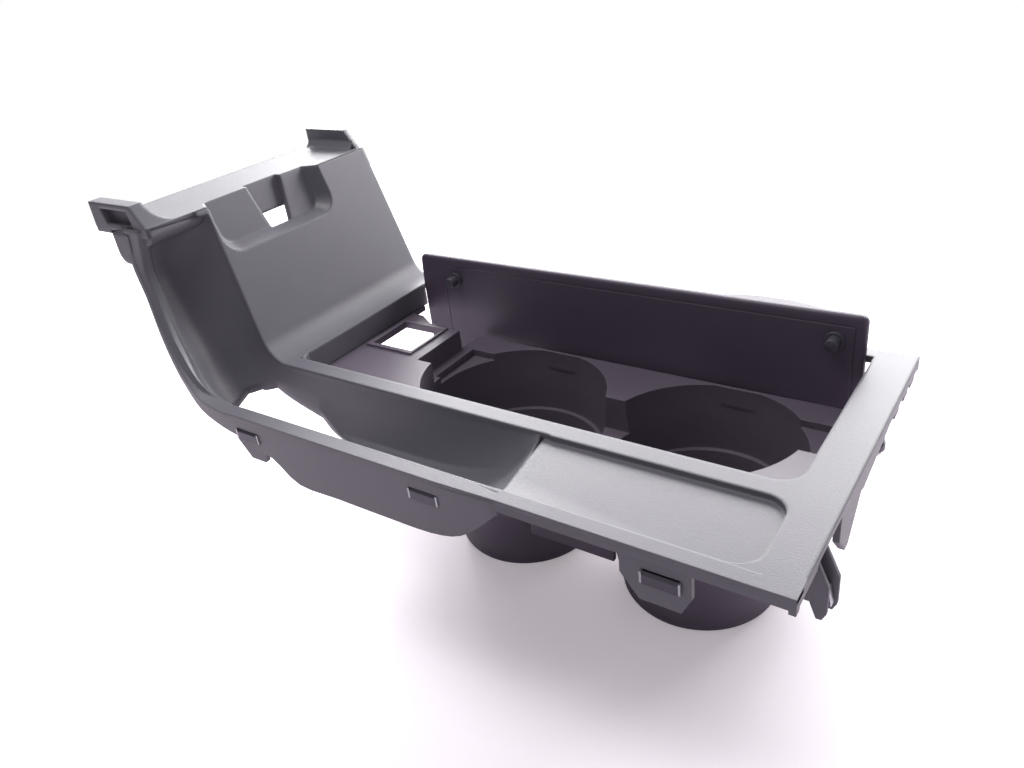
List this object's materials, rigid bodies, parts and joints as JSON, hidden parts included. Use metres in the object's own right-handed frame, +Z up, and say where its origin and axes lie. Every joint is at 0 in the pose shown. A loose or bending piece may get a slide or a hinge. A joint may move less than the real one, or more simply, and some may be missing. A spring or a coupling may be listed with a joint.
{
  "type": "car cup holder",
  "caption": "Centre console panel of a car with a lever channel, a coin tray, two cup wells and a hinged lid over them.",
  "frame": {"origin": "on the floor at the axis of the rear cup, at the middle of the cup's underside", "axes": "+X along the console away from the riser, +Y to the lid side, +Z up"},
  "size_m": [0.3012, 0.1406, 0.1635],
  "materials": {
    "panel": "fine grain, satin",
    "insert": "matte",
    "lid": "fine grain, satin",
    "bumper": "matte",
    "steel": "plain",
    "spring": "dark phosphate"
  },
  "bodies": {
    "panel": {"console_panel": "panel", "cup_insert": "insert", "hinge_pin_rear": "steel", "hinge_pin_front": "steel", "insert_screws": "steel", "near_clips": "spring", "end_clip": "spring"},
    "lid": {"lid_cover": "lid", "lid_liner": "lid", "lid_bumper_rear": "bumper", "lid_bumper_front": "bumper"}
  },
  "joints": [
    {"name": "lid_hinge", "type": "hinge", "parent": "panel", "child": "lid", "pos_m": [-0.0489, 0.011, 0.0561], "axis": [1, 0, 0], "range_deg": [0, 90]}
  ]
}
